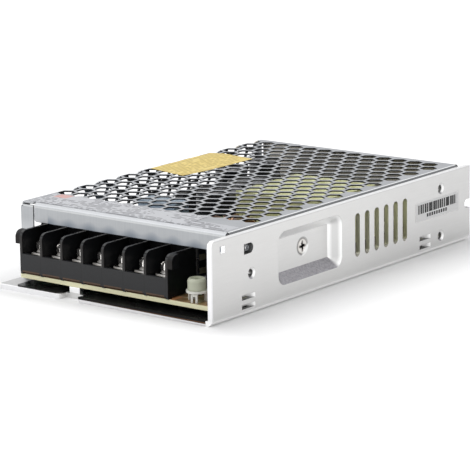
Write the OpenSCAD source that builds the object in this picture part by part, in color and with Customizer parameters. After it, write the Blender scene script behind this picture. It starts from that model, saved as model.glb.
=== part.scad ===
// Mesh case switching power supply: a folded aluminium chassis with a perforated
// steel cover, a circuit board with its parts, and a seven way screw terminal block.
// X runs across the case, Y from the terminals to the rear, Z up from the underside.

/* [Case] */
// Length of the chassis from the terminal end to the rear
case_l = 159; // [156:0.5:162]
// Width over the base and the side plate
case_w = 97; // [95:0.5:99]
// Height from the underside to the top of the cover
case_h = 30; // [29.5:0.1:31]
// Thickness of the aluminium chassis sheet
plate_t = 1.8; // [1.5:0.1:2]
// Outside radius of the chassis folds
plate_bend = 2.4; // [2.2:0.1:3]
// Height of the side plate
plate_h = 29.3; // [29:0.1:29.5]
// Thickness of the cover's steel sheet
cover_t = 0.5; // [0.5:0.1:0.8]
// Outside radius of the cover's folds
cover_bend = 1.6; // [1.4:0.1:2]
// Distance from the chassis front edge to the cover's front
front_setback = 11.5; // [11:0.1:12]
// Distance from the cover's rear to the chassis rear edge
rear_setback = 4; // [3.5:0.1:4.5]

/* [Perforation] */
// Distance between the centres of neighbouring hexagons
hex_pitch = 7.04; // [7:0.01:7.12]
// Width of a hexagon across its flats
hex_flat = 5.9; // [5:0.1:6]
// Number of hexagon rows from front to rear
hex_rows = 20; // [10:1:20]
// Distance from the cover's front to the first row
hex_front = 20.4; // [20:0.1:21]
// X position of the rightmost hexagon of the first row
hex_right = 41.2; // [41:0.1:41.4]

/* [Side plate] */
// Depth of the pressed dimple
dimple_depth = 4; // [3:0.5:4]
// Number of upright cooling slots
slot_count = 6; // [4:1:6]
// Distance between the slots
slot_pitch = 6.05; // [6:0.05:6.2]
// Width of a slot
slot_w = 3; // [2:0.5:3.5]
// Distance between the front and the rear fixing holes
fixing_span = 117; // [116:0.5:118]

/* [Terminals] */
// Distance between neighbouring terminals
way_pitch = 9.525; // [9.4:0.025:9.6]
// Thickness of the barriers between the terminals
barrier_t = 1.1; // [1:0.1:1.5]
// Radius of the terminal screw's shank
screw_r = 1.7; // [1.6:0.05:1.7]
// Radius of the terminal screw's head
head_r = 3.25; // [3:0.05:3.3]

/* [Board] */
// Height of the board's underside above the table
board_z = 4.2; // [4.2:0.1:4.4]
// Thickness of the board
board_t = 1.6; // [1.5:0.1:1.6]

/* [Hidden] */
$fn = 48;
ways = 7;
way_names = [for (i = [1 : ways]) i];
eps = 0.01;

// Chassis faces
x_right = case_w / 2;
x_left = -case_w / 2;
y_front = -case_l / 2;
y_rear = case_l / 2;
plate_in = x_right - plate_t;
// Cover faces
cover_left = x_left + 0.3;
cover_right = plate_in - 0.1;
cover_front = y_front + front_setback;
cover_rear = y_rear - rear_setback;
cover_in = cover_bend - cover_t;
// The left lip of the chassis stands inside the cover's left wall
lip_out = cover_left + cover_t + 0.1;
lip_h = 11;
lip_front = cover_front + 4;
lip_rear = 72;
board_top = board_z + board_t;
// Fixing holes for M3 screws: the tapping radius and the burr that carries the thread
fix_r = 1.35;
burr_r = 2.4;
burr_h = 1.4;
fix_front = -57.3;
fix_rear = fix_front + fixing_span;
side_fixings = [[fix_front, 14.4], [fix_rear, 5.35], [fix_rear, 23.4]];
base_fix_x = 38.5;
base_fixings = [for (x = [-base_fix_x, base_fix_x], y = [fix_front, fix_rear]) [x, y]];
// Board posts, pressed up from the base
board_posts = [[-38, -44], [-38, 52]];
post_r = 3.6;

// A sheet drawn as (y, z) and raised along X from x
module across(x, t) {
    translate([x, 0, 0]) rotate([90, 0, 90]) linear_extrude(t) children();
}

// A sheet drawn as (x, z) and raised along Y from y
module along(y, t) {
    translate([0, y + t, 0]) rotate([90, 0, 0]) linear_extrude(t) children();
}

// A sheet drawn as (x, y) and raised along Z from z
module flat(z, t) {
    translate([0, 0, z]) linear_extrude(t) children();
}

module span(x0, x1, y0, y1) {
    translate([x0, y0]) square([x1 - x0, y1 - y0]);
}

// A rectangle with round corners, from (x0, y0) to (x1, y1)
module round_span(x0, x1, y0, y1, r) {
    span(x0 + r, x1 - r, y0, y1);
    span(x0, x1, y0 + r, y1 - r);
    for (x = [x0 + r, x1 - r], y = [y0 + r, y1 - r]) translate([x, y]) circle(r);
}

// A quarter ring about its centre, in the quadrant that (sx, sy) points to
module quarter_ring(r, t, sx, sy) {
    intersection() {
        difference() {
            circle(r);
            circle(r - t);
        }
        scale([sx, sy]) square(r);
    }
}

module peg(x, y, z0, z1, r) {
    translate([x, y, z0]) cylinder(h = z1 - z0, r = r);
}

// Cross recess with a straight slot, cut down from a head's top at the origin
module drive(depth, reach) {
    for (a = [0, 90]) rotate(a) translate([-reach, -0.45, -depth]) cube([2 * reach, 0.9, depth + 1]);
}

/* Chassis */

// Section of the chassis: base and right wall, with the left lip where it has one
module chassis_section(lip) {
    edge = lip ? lip_out + plate_bend : x_left;
    span(edge, x_right - plate_bend, 0, plate_t);
    span(plate_in, x_right, plate_bend, plate_h);
    translate([x_right - plate_bend, plate_bend]) quarter_ring(plate_bend, plate_t, 1, -1);
    if (lip) {
        translate([lip_out + plate_bend, plate_bend]) quarter_ring(plate_bend, plate_t, -1, -1);
        span(lip_out, lip_out + plate_t, plate_bend, lip_h);
    }
}

dimple_run = dimple_depth * 0.9;
dimple_corner = 3.9;
// Centres of the dimple's round corners
dimple_y = [-38.3, -8.1];
dimple_z = [10.2, 21.6];
dimple_screw = [-22.8, 16.7];
dimple_skin = 0.9;
dimple_floor = x_right - dimple_depth;

// The pressed pocket with sloping sides, from plane x inwards: a cone at each corner and
// a tapered block each way between them
module dimple_form(x, over, grow) {
    wide = dimple_corner + grow + over * dimple_run / dimple_depth;
    narrow = dimple_corner + grow - dimple_run;
    x0 = x - dimple_depth;
    x1 = x + over;
    for (y = dimple_y, z = dimple_z)
        translate([x0, y, z]) rotate([0, 90, 0]) cylinder(h = x1 - x0, r1 = narrow, r2 = wide);
    along(dimple_y[0], dimple_y[1] - dimple_y[0]) polygon([
        [x0, dimple_z[0] - narrow], [x1, dimple_z[0] - wide],
        [x1, dimple_z[1] + wide], [x0, dimple_z[1] + narrow]]);
    flat(dimple_z[0], dimple_z[1] - dimple_z[0]) polygon([
        [x0, dimple_y[0] - narrow], [x1, dimple_y[0] - wide],
        [x1, dimple_y[1] + wide], [x0, dimple_y[1] + narrow]]);
}

lance_l = 7.6;
lance_in = 2.5;
lance_rows = [[board_z - 1.6, board_z], [board_top, board_top + 1.7]];
lance_y = [-63, 45.3];

// A strip of the wall pressed inwards between two slits, to hold the board's edge
module lance(y, z0, z1) {
    ramp = 2.3;
    flat(z0, z1 - z0) polygon([
        [x_right, y], [x_right - lance_in, y + ramp],
        [x_right - lance_in, y + lance_l - ramp], [x_right, y + lance_l],
        [plate_in, y + lance_l], [plate_in - lance_in, y + lance_l - ramp * 0.8],
        [plate_in - lance_in, y + ramp * 0.8], [plate_in, y]]);
}

slot_first = 5.3;
slot_low = 7.9;
slot_high = 23.85;
latch_z = 23.4;
latch_y = [-61.5, -56.3];
latch_r = 1.8;
small_window = [-74.7, -71.8, 24.4, 26.9];
notch_r = 1.7;
notch_z = 14.6;

// Everything cut through the side plate
module side_openings() {
    across(plate_in - 1, plate_t + 2) {
        for (i = [0 : slot_count - 1])
            translate([slot_first + i * slot_pitch, 0])
                round_span(-slot_w / 2, slot_w / 2, slot_low, slot_high, slot_w / 2 - eps);
        span(small_window[0], small_window[1], small_window[2], small_window[3]);
        span(latch_y[0], latch_y[1] - latch_r, latch_z - latch_r, latch_z + latch_r);
        translate([latch_y[1] - latch_r, latch_z]) circle(latch_r);
        translate([y_rear - 2, notch_z]) circle(notch_r);
        span(y_rear - 2, y_rear + 1, notch_z - notch_r, notch_z + notch_r);
        for (y = lance_y, row = lance_rows) span(y, y + lance_l, row[0], row[1]);
        polygon([[y_rear - 2.7, -1], [y_rear - 2.7, 0], [y_rear, 2.1], [y_rear + 1, 2.1], [y_rear + 1, -1]]);
    }
}

front_corner = 2.2;

// Rounds the upper front corner of the side plate
module plate_corner_cut() {
    across(plate_in - 1, plate_t + 2) difference() {
        span(y_front - 1, y_front + front_corner, plate_h - front_corner, plate_h + 1);
        translate([y_front + front_corner, plate_h - front_corner]) circle(front_corner);
    }
}

// The tab under the board's front edge and the relief in the base around it
tab_x = [-18.1, -13.4];
tab_y = -75.9;
relief_x = [-19.7, -11.9];
// The film folds down over the base's front edge, which is set back there
film_t = 0.4;
fold_x = [relief_x[1] + 0.8, plate_in - 1.1];

module front_relief() {
    flat(-1, plate_t + 2) difference() {
        span(relief_x[0] - 2, relief_x[1] + 2, y_front - 1, tab_y);
        span(relief_x[0] - 3, relief_x[0], y_front + 2, tab_y);
        span(relief_x[1], relief_x[1] + 3, y_front + 2, tab_y);
        span(relief_x[0] - 3, relief_x[0] - 2, y_front - 2, tab_y);
        span(relief_x[1] + 2, relief_x[1] + 3, y_front - 2, tab_y);
        for (x = [relief_x[0] - 2, relief_x[1] + 2]) translate([x, y_front + 2]) circle(2);
    }
}

rear_tab = [-11, 1];
rear_tab_h = 12;
cover_screw_side = [[-40, 6.4], [46, 6.4]];
cover_screw_rear = [-5, 7.5];
cover_screw_r = 1.25;
clamp_screw_r = 1.5;

module chassis() {
    color("gainsboro") {
        difference() {
            union() {
                along(y_front, lip_front - y_front) chassis_section(false);
                along(lip_front, lip_rear - lip_front) chassis_section(true);
                along(lip_rear, y_rear - lip_rear) difference() {
                    chassis_section(false);
                    span(x_left - 1, lip_out, -1, plate_t + 1);
                }
                dimple_form(plate_in, 0, dimple_skin);
                for (f = side_fixings) across(plate_in - burr_h, burr_h) translate(f) circle(burr_r);
                for (f = base_fixings) peg(f[0], f[1], plate_t - eps, plate_t + burr_h, burr_r);
                for (p = board_posts) peg(p[0], p[1], plate_t - eps, board_z, post_r);
                flat(0, board_z) span(tab_x[0], tab_x[1], tab_y, tab_y + plate_t);
                flat(0, rear_tab_h)
                    span(rear_tab[0], rear_tab[1], cover_rear - cover_t - plate_t - 0.1, cover_rear - cover_t - 0.1);
                for (f = cover_screw_side)
                    across(lip_out + plate_t, 1) translate(f) circle(2.2);
                along(cover_rear - cover_t - plate_t - 1.1, 1) translate(cover_screw_rear) circle(2.2);
            }
            dimple_form(x_right, 0.5, 0);
            side_openings();
            plate_corner_cut();
            front_relief();
            flat(-1, plate_t + 1) span(fold_x[0], fold_x[1], y_front - 1, y_front + film_t + 0.1);
            for (f = side_fixings) {
                across(plate_in - burr_h - 1, plate_t + burr_h + 2) translate(f) circle(fix_r);
                translate([x_right - 0.75, f[0], f[1]]) rotate([0, 90, 0])
                    cylinder(h = 0.8, r1 = fix_r, r2 = fix_r + 0.8);
            }
            for (f = base_fixings) {
                peg(f[0], f[1], -1, plate_t + burr_h + 1, fix_r);
                translate([f[0], f[1], -0.05]) cylinder(h = 0.8, r1 = fix_r + 0.8, r2 = fix_r);
            }
            for (p = board_posts) peg(p[0], p[1], -1, board_z + 1, 1.25);
            for (f = cover_screw_side) translate([cover_left, f[0], f[1]]) rotate([0, 90, 0]) {
                cylinder(h = 6, r = cover_screw_r + 0.03);
                cylinder(h = 1.5, r1 = cover_screw_r + 1.53, r2 = cover_screw_r + 0.03);
            }
            translate([cover_screw_rear[0], cover_rear, cover_screw_rear[1]]) rotate([90, 0, 0]) {
                cylinder(h = 6, r = cover_screw_r + 0.03);
                cylinder(h = 1.5, r1 = cover_screw_r + 1.53, r2 = cover_screw_r + 0.03);
            }
            translate([dimple_floor, dimple_screw[0], dimple_screw[1]]) rotate([0, -90, 0]) {
                cylinder(h = plate_t + 1, r = clamp_screw_r + 0.03);
                cylinder(h = 1.5, r1 = clamp_screw_r + 1.53, r2 = clamp_screw_r + 0.03);
            }
        }
        for (y = lance_y, row = lance_rows) lance(y, row[0], row[1]);
    }
}

/* Cover */

hex_r = hex_flat / sqrt(3);
row_pitch = hex_pitch * sqrt(3) / 2;
top_left = cover_left + cover_bend;
wall_top = case_h - cover_bend;
// Length of the fold's middle line: the pattern runs on round the fold, unrolled
fold_l = (cover_bend - cover_t / 2) * PI / 2;
top_cols = 13;
wall_low = 10.5;

// Place of hexagon j of row k on the unrolled sheet, counted from the right
function hex_x(j, k) = hex_right - hex_pitch * (j + abs(k % 2) / 2);
function hex_y(k) = cover_front + hex_front + row_pitch * k;
// Height on the left wall of a place on the unrolled sheet
function wall_z(x) = wall_top - (top_left - fold_l - x);

module hexagon() {
    rotate(30) circle(hex_r, $fn = 6);
}

lip_x = [-40.95, cover_right - cover_bend + 0.6];
lip_low = 23.2;
flap_w = 6.75;
flap_gap = 0.4;
// The flap ends above the board, the left wall just above the base plate
flap_low = 6.3;
wall_end = plate_t + 0.2;
flange_low = 26.8;

module cover_top() {
    flat(case_h - cover_t, cover_t) difference() {
        union() {
            span(top_left, cover_right - cover_bend, cover_front + cover_bend, cover_rear - cover_bend);
            span(top_left, lip_x[0] - 0.6, cover_front + 0.3, cover_front + cover_bend + eps);
        }
        for (k = [0 : hex_rows - 1], j = [0 : top_cols - 1])
            translate([hex_x(j, k), hex_y(k)]) hexagon();
    }
}

// Left wall, with the rows of the pattern that come round the fold
module cover_left_wall() {
    across(cover_left, cover_t) difference() {
        union() {
            span(cover_front + cover_bend, lip_front + 0.2, wall_end, wall_top);
            span(lip_front + 0.2, cover_rear - 0.1, 0.6, wall_top);
        }
        for (k = [-2 : hex_rows - 1], j = [top_cols - 1 : top_cols + 4])
            if (wall_z(hex_x(j, k)) > wall_low)
                translate([hex_y(k), wall_z(hex_x(j, k))]) rotate(30) hexagon();
    }
}

// Outline of the part of a hexagon that lies on the fold, as (y, distance down the fold)
module fold_gap(k) {
    off = hex_x(top_cols - 1, k) - top_left;
    chord = cover_bend * sqrt(2) / 2;
    half = function(d) hex_r - abs(d) / sqrt(3);
    polygon([
        [-half(-off), chord], [-hex_r, chord + off * chord * 2 / fold_l], [-half(-off - fold_l), -chord],
        [half(-off - fold_l), -chord], [hex_r, chord + off * chord * 2 / fold_l], [half(-off), chord]]);
}

module cover_left_fold() {
    centre = [top_left, 0, wall_top];
    difference() {
        along(cover_front + cover_bend, cover_rear - cover_front - 2 * cover_bend)
            translate([centre[0], centre[2]]) quarter_ring(cover_bend, cover_t, -1, 1);
        for (k = [1 : 2 : hex_rows - 1])
            translate([centre[0] - cover_bend / 2, hex_y(k), centre[2] + cover_bend / 2])
                rotate([0, -45, 0]) rotate([0, 0, -90]) translate([0, 0, -2])
                    linear_extrude(4) fold_gap(k);
    }
}

module cover_front_lip() {
    across(lip_x[0], lip_x[1] - lip_x[0]) {
        translate([cover_front + cover_bend, wall_top]) quarter_ring(cover_bend, cover_t, -1, 1);
        span(cover_front, cover_front + cover_t, lip_low + 1, wall_top);
    }
    along(cover_front, cover_t) {
        span(lip_x[0] + 1, lip_x[1] - 1, lip_low, lip_low + 1 + eps);
        for (x = [lip_x[0] + 1, lip_x[1] - 1]) translate([x, lip_low + 1]) circle(1);
    }
}

// The narrow flap that the left wall turns across the front
module cover_front_flap() {
    flat(flap_low, wall_top - flap_low - 0.2) {
        translate([top_left, cover_front + cover_bend]) quarter_ring(cover_bend, cover_t, -1, -1);
        span(top_left, cover_left + flap_w, cover_front, cover_front + cover_t);
    }
    along(cover_front, cover_t)
        span(top_left + 0.4, cover_left + flap_w, wall_top - 0.2 - eps, case_h - cover_t - flap_gap);
}

module cover_rear_wall() {
    across(cover_left + cover_bend, cover_right - cover_left - cover_bend - 0.8) {
        translate([cover_rear - cover_bend, wall_top]) quarter_ring(cover_bend, cover_t, 1, 1);
        span(cover_rear - cover_t, cover_rear, plate_t + 0.3, wall_top);
    }
}

latch_tab_y = [-64.5, -53.5];
latch_tab_low = 20.6;

// Flange inside the side plate, with a bump that snaps into the plate's round-ended hole
module cover_right_flange() {
    y0 = cover_front + cover_bend + 0.2;
    y1 = cover_rear - cover_bend - 0.2;
    along(y0, y1 - y0)
        translate([cover_right - cover_bend, wall_top]) quarter_ring(cover_bend, cover_t, 1, 1);
    across(cover_right - cover_t, cover_t) {
        span(y0, y1, flange_low, wall_top);
        span(latch_tab_y[0], latch_tab_y[1], latch_tab_low, flange_low + eps);
    }
    translate([cover_right - eps, latch_y[1] - latch_r - 0.3, latch_z]) rotate([0, 90, 0])
        cylinder(h = 1, r1 = 1.5, r2 = 1);
}

module cover() {
    color("silver") difference() {
        union() {
            cover_top();
            cover_left_wall();
            cover_left_fold();
            cover_front_lip();
            cover_front_flap();
            cover_rear_wall();
            cover_right_flange();
        }
        for (f = cover_screw_side) translate([cover_left, f[0], f[1]]) rotate([0, 90, 0])
            cylinder(h = 1.5, r1 = cover_screw_r + 1.53, r2 = cover_screw_r + 0.03);
        translate([cover_screw_rear[0], cover_rear, cover_screw_rear[1]]) rotate([90, 0, 0])
            cylinder(h = 1.5, r1 = cover_screw_r + 1.53, r2 = cover_screw_r + 0.03);
        translate([cover_right + 0.7, latch_y[1] - latch_r - 0.3, latch_z]) rotate([0, 90, 0])
            cylinder(h = 1, r = 0.5);
    }
}

/* Film and board */

film_x = [-41, 45.6];
film_y = [-78.8, 71.5];

module insulating_film() {
    color("#17171a") flat(plate_t, film_t) difference() {
        round_span(film_x[0], film_x[1], film_y[0], film_y[1], 1.5);
        span(relief_x[0] - 0.6, relief_x[1] + 0.6, film_y[0] - 1, tab_y + plate_t + 0.8);
        for (x = [relief_x[0] - 0.6, relief_x[1] + 0.6])
            translate([x, film_y[0]]) rotate(45) square(3, center = true);
        for (f = base_fixings) translate(f) circle(3);
        for (p = board_posts) translate(p) circle(4.3);
    }
    color("#17171a") {
        flat(plate_t, film_t) span(fold_x[0], fold_x[1], y_front, film_y[0] + eps);
        along(y_front, film_t) polygon([
            [fold_x[0], 1.3], [fold_x[1], 0.8], [fold_x[1], plate_t + eps], [fold_x[0], plate_t + eps]]);
    }
}

board_x = [-41.9, plate_in - 0.5];
board_y = [-75.5, 71.8];
contact_leg_y = [-63.1, -62.3];
leg_w = 1.4;

module circuit_board() {
    color("tan") flat(board_z, board_t) difference() {
        round_span(board_x[0], board_x[1], board_y[0], board_y[1], 0.8);
        translate([board_x[1] + 0.5, fix_rear]) circle(3.4);
        for (p = board_posts) translate(p) circle(1.6);
        for (i = [0 : ways - 1])
            translate([way_x(i), 0])
                span(-leg_w / 2 - 0.1, leg_w / 2 + 0.1, contact_leg_y[0] - 0.1, contact_leg_y[1] + 0.1);
    }
}

/* Terminal block */

block_left = -41.05;
block_y = [-76, -60.4];
block_low = board_top + 0.6;
sill_z = 13.1;
bay_floor = 11.6;
barrier_top = 21.4;
barrier_nose = 2.6;
contact_t = 0.8;
screw_y = -68.2;
well_r = 2.6;

// X of the middle of bay i, counted from the left
function way_x(i) = block_left + barrier_t / 2 + way_pitch * (i + 0.5);
block_right = way_x(ways - 1) + way_pitch / 2 + barrier_t / 2;

module barrier_outline(y_end, low) {
    span(block_y[0], y_end, low, barrier_top - barrier_nose);
    span(block_y[0] + barrier_nose, y_end, low, barrier_top);
    translate([block_y[0] + barrier_nose, barrier_top - barrier_nose]) circle(barrier_nose);
}

module terminal_block() {
    color("#2b2c2e") difference() {
        union() {
            for (i = [0 : ways])
                across(block_left + way_pitch * i, barrier_t) barrier_outline(block_y[1], block_low);
            flat(block_low, bay_floor - block_low) span(block_left, block_right, block_y[0], block_y[1]);
            flat(block_low, sill_z - block_low) span(block_left, block_right, block_y[0], block_y[0] + 1.5);
            flat(block_low, barrier_top - block_low) span(block_left, block_right, block_y[1] - 1.6, block_y[1]);
            for (i = [0 : ways], y = [block_y[0] + 0.1, block_y[1] - 2.1])
                flat(board_top, 0.7)
                    span(block_left + way_pitch * i, block_left + way_pitch * i + barrier_t, y, y + 2);
            for (x = [block_left - 2, block_right - eps])
                across(x, 2 + eps) intersection() {
                    barrier_outline(block_y[0] + 3.6, block_low);
                    span(block_y[0], block_y[0] + 3.6, 16.6, barrier_top);
                }
        }
        for (i = [0 : ways - 1]) {
            peg(way_x(i), screw_y, block_low + 0.4, bay_floor + 1, well_r);
            flat(block_low - 1, bay_floor - block_low + 2)
                translate([way_x(i), 0])
                    span(-leg_w / 2 - 0.15, leg_w / 2 + 0.15, contact_leg_y[0] - 0.15, contact_leg_y[1] + 0.15);
        }
    }
}

// Plate with a tapped collar under the screw and a leg down into the board
module contact() {
    difference() {
        union() {
            flat(bay_floor, contact_t) span(-3.7, 3.7, -73.6, contact_leg_y[1]);
            peg(0, screw_y, bay_floor - 1.5, bay_floor + eps, 2.4);
            flat(board_z - 0.8, bay_floor - board_z + 0.8 + eps)
                span(-leg_w / 2, leg_w / 2, contact_leg_y[0], contact_leg_y[1]);
        }
        peg(0, screw_y, bay_floor - 2, bay_floor + contact_t + 1, screw_r + 0.05);
    }
}

module terminal_contacts() {
    color("#c9c6bd") for (i = [0 : ways - 1]) translate([way_x(i), 0, 0]) contact();
}

washer_half = 3.8;
washer_t = 0.8;
washer_z = bay_floor + contact_t;
boss_h = 0.9;

// Square clamp with a bevelled front edge and a raised boss under the screw's head
module clamp_washer(i) {
    color("#d8d6d0") translate([way_x(i), screw_y, washer_z]) difference() {
        union() {
            intersection() {
                linear_extrude(washer_t)
                    round_span(-washer_half, washer_half, -washer_half - 0.3, washer_half, 1.4);
                across(-washer_half, 2 * washer_half) polygon([
                    [washer_half, 0], [washer_half, washer_t], [-washer_half + 0.7, washer_t],
                    [-washer_half + 0.1, washer_t - 0.18], [-washer_half - 0.3, washer_t - 0.6],
                    [-washer_half - 0.3, 0]]);
            }
            translate([0, 0, washer_t - eps]) cylinder(h = boss_h + eps, r1 = 3.3, r2 = 2.7);
        }
        translate([0, 0, -1]) cylinder(h = washer_t + boss_h + 2, r = screw_r + 0.09);
    }
}

head_h = 3;
shank_l = 6.5;

// Pan head screw with a cross recess and a straight slot, each left at its own angle
module terminal_screw(i) {
    head_z = washer_z + washer_t + boss_h;
    color("#e2e0da") translate([way_x(i), screw_y, head_z]) {
        difference() {
            rotate_extrude() {
                polygon([
                    [0, 0], [head_r - 0.25, 0], [head_r, 0.25], [head_r, head_h - 1.1],
                    [head_r - 0.25, head_h - 0.6], [head_r - 0.7, head_h - 0.25], [head_r - 1.4, head_h], [0, head_h]]);
            }
            translate([0, 0, head_h]) rotate(20 + 37 * i) {
                drive(1.5, 1.7);
                translate([-head_r - 1, -0.4, -0.8]) cube([2 * head_r + 2, 0.8, 2]);
            }
        }
        translate([0, 0, -shank_l]) cylinder(h = shank_l + eps, r = screw_r);
        translate([0, 0, -shank_l - 0.5]) cylinder(h = 0.5 + eps, r1 = screw_r - 0.5, r2 = screw_r);
    }
}

/* Trimmer and indicator */

trim_at = [35.9, -71.6];
trim_flange_z = board_top + 3.2;
trim_flange_r = 3.75;
trim_flange_t = 0.8;
trim_knob_r = 3.25;
trim_knob_h = 4.1;
trim_pivot_r = 1.2;

// Flange on three slotted legs
module trimmer_base() {
    color("#ecebe4") translate([trim_at[0], trim_at[1], 0]) {
        flat(trim_flange_z, trim_flange_t) difference() {
            circle(trim_flange_r);
            circle(trim_pivot_r + 0.06);
        }
        for (a = [-70, 50, 170]) rotate(a) difference() {
            translate([trim_flange_r - 1.1, -1.2, board_top]) cube([0.6, 2.4, trim_flange_z - board_top + eps]);
            translate([trim_flange_r - 2, -0.45, board_top - 1]) cube([3, 0.9, 3.1]);
        }
    }
}

// Knob with a sunk ring and a cross slot on top, and a pivot in the flange
module trimmer_knob() {
    z0 = trim_flange_z + trim_flange_t + 0.02;
    color("#c4c6b8") translate([trim_at[0], trim_at[1], z0]) difference() {
        union() {
            rotate_extrude() polygon([
                [0, 0], [trim_knob_r - 0.15, 0], [trim_knob_r, 0.5], [trim_knob_r, trim_knob_h - 0.9],
                [trim_knob_r - 0.3, trim_knob_h - 0.2], [trim_knob_r - 0.6, trim_knob_h],
                [trim_knob_r - 1.1, trim_knob_h], [trim_knob_r - 1.2, trim_knob_h - 0.5],
                [1.4, trim_knob_h - 0.5], [1.4, trim_knob_h - 0.2], [0, trim_knob_h - 0.2]]);
            translate([0, 0, -1.1]) cylinder(h = 1.1 + eps, r = trim_pivot_r);
        }
        translate([0, 0, trim_knob_h - 0.2]) rotate(35) drive(0.9, 1.05);
    }
}

led_at = [31.2, -64.6];

module status_led() {
    color("palegreen") translate([led_at[0], led_at[1], board_top]) {
        rotate_extrude() polygon(concat(
            [[0, 0.8], [1.9, 0.8], [1.9, 1.7], [1.5, 1.7]],
            [for (a = [0 : 15 : 90]) [1.5 * cos(a), 4.1 + 1.5 * sin(a)]]));
        for (x = [-1, 0.6]) translate([x, -0.2, 0]) cube([0.4, 0.4, 0.8 + eps]);
    }
}

/* Power parts on the board */

xf_x = [-2.5, 33.5];
xf_y = [0.5, 37.5];
xf_core_z = [10, 22.6];
xf_leg = 6.5;
xf_top = 27;
xf_wrap_t = 0.4;

// Two E halves, closed round the winding window, with the middle leg along X
module transformer_core() {
    mid = (xf_y[0] + xf_y[1]) / 2;
    color("#3c3d40") flat(xf_core_z[0], xf_core_z[1] - xf_core_z[0]) {
        difference() {
            span(xf_x[0], xf_x[1], xf_y[0], xf_y[1]);
            span(xf_x[0] + xf_leg, xf_x[1] - xf_leg, xf_y[0] + xf_leg - 1, xf_y[1] - xf_leg + 1);
        }
        span(xf_x[0] + xf_leg - eps, xf_x[1] - xf_leg + eps, mid - 4.5, mid + 4.5);
    }
}

module transformer_bobbin() {
    mid = (xf_y[0] + xf_y[1]) / 2;
    flange = xf_leg + 0.2;
    color("#26282b") {
        for (x = [xf_x[0] + flange, xf_x[1] - flange - 1])
            across(x, 1) difference() {
                span(xf_y[0] + xf_leg - 0.6, xf_y[1] - xf_leg + 0.6, board_top + 1.5, xf_top - xf_wrap_t);
                span(mid - 4.5, mid + 4.5, xf_core_z[0], xf_core_z[1]);
            }
        for (x = [xf_x[0] + 2.8, xf_x[1] - 7.8])
            translate([x, xf_y[0] + 3, board_top]) cube([5, xf_y[1] - xf_y[0] - 6, xf_core_z[0] - board_top]);
    }
}

module transformer_winding() {
    mid = (xf_y[0] + xf_y[1]) / 2;
    x0 = xf_x[0] + xf_leg + 1.3;
    color("#b46a35") across(x0, xf_x[1] - xf_leg - 1.3 - x0) difference() {
        round_span(xf_y[0] + xf_leg - 0.4, xf_y[1] - xf_leg + 0.4, board_top + 1.8, 25.6, 3);
        span(mid - 4.5, mid + 4.5, xf_core_z[0], xf_core_z[1]);
    }
}

// Tape round the whole transformer: top and four sides, open below
module transformer_wrap() {
    t = xf_wrap_t;
    color("#dfe08c") difference() {
        flat(xf_core_z[0] - 2.5, xf_top - xf_core_z[0] + 2.5)
            round_span(xf_x[0] - t, xf_x[1] + t, xf_y[0] - t, xf_y[1] + t, 0.6);
        flat(xf_core_z[0] - 3.5, xf_top - xf_core_z[0] + 3.5 - t)
            span(xf_x[0], xf_x[1], xf_y[0], xf_y[1]);
    }
}

line_choke_at = [-25, -37];

// Rectangular core on its side, with a coil on each long leg
module line_choke_core() {
    color("#3c3d40") translate([line_choke_at[0], line_choke_at[1], board_top]) linear_extrude(12)
        difference() {
            round_span(-9.5, 9.5, -8, 8, 1);
            span(-5.5, 5.5, -4, 4);
        }
}

module line_choke_coils() {
    color("#b46a35") for (y = [-6, 6])
        translate([line_choke_at[0] - 5, line_choke_at[1] + y, board_top + 6]) rotate([0, 90, 0])
            linear_extrude(10) difference() {
                round_span(-7.2, 6, -3.4, 3.4, 1.4);
                span(-6, 7, -2, 2);
            }
}

output_choke_at = [7, -19];
toroid_r = 7.2;
toroid_half = 3.2;
turns = 14;
wire_t = 1.1;

choke_z = board_top + 6.5 + wire_t;

module output_choke_core() {
    color("#8a8f55") translate([output_choke_at[0], output_choke_at[1], choke_z]) rotate_extrude()
        round_span(toroid_r - toroid_half, toroid_r + toroid_half, -6.5, 6.5, 0.8);
}

// Turns of thick enamelled wire round the toroid
module output_choke_wire() {
    color("#c06a2e") translate([output_choke_at[0], output_choke_at[1], choke_z])
        for (i = [0 : turns - 1]) rotate(i * 360 / turns) translate([toroid_r, 0, 0]) rotate([90, 0, 0])
            linear_extrude(1, center = true) difference() {
                round_span(-toroid_half - wire_t, toroid_half + wire_t, -6.5 - wire_t, 6.5 + wire_t, 1.4);
                round_span(-toroid_half - 0.06, toroid_half, -6.5, 6.5, 0.75);
            }
}

module fuse() {
    color("#e4dfd0") translate([-31, -54, board_top + 3.2]) rotate([0, 90, 0]) {
        cylinder(h = 16, r = 2.4);
        for (z = [0, 12]) translate([0, 0, z]) cylinder(h = 4, r = 2.7);
    }
    color("#c9c6bd") for (x = [-30, -17.2]) translate([x, -55.2, board_top]) cube([1.6, 2.4, 1.5]);
}

// Coated disc standing on two leads
module coated_disc(x, y, r, t, turn, lift) {
    translate([x, y, board_top + lift + r]) rotate([0, 0, turn]) {
        rotate([90, 0, 0]) rotate_extrude() polygon([
            [0, -t / 2], [r - 0.8, -t / 2], [r, -t / 2 + 0.8], [r, t / 2 - 0.8], [r - 0.8, t / 2], [0, t / 2]]);
        for (s = [-1, 1])
            translate([s * r * 0.45 - 0.3, -0.3, -lift - r]) cube([0.6, 0.6, lift + r * 0.3]);
    }
}

module inrush_limiter() {
    color("#2f3b33") coated_disc(-7.5, -54, 5, 4, 0, 2);
}

module varistor() {
    color("#2f5fa8") coated_disc(-30, -21, 5, 4, 0, 3);
}

module y_capacitors() {
    color("#3a6db5") for (y = [-45, -39]) coated_disc(-8, y, 3.6, 3.2, 0, 3);
}

module x_capacitor() {
    color("#7f9db8") translate([-29, -14.2, board_top]) linear_extrude(16.5) round_span(-9, 9, 0, 8.4, 0.6);
}

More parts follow.
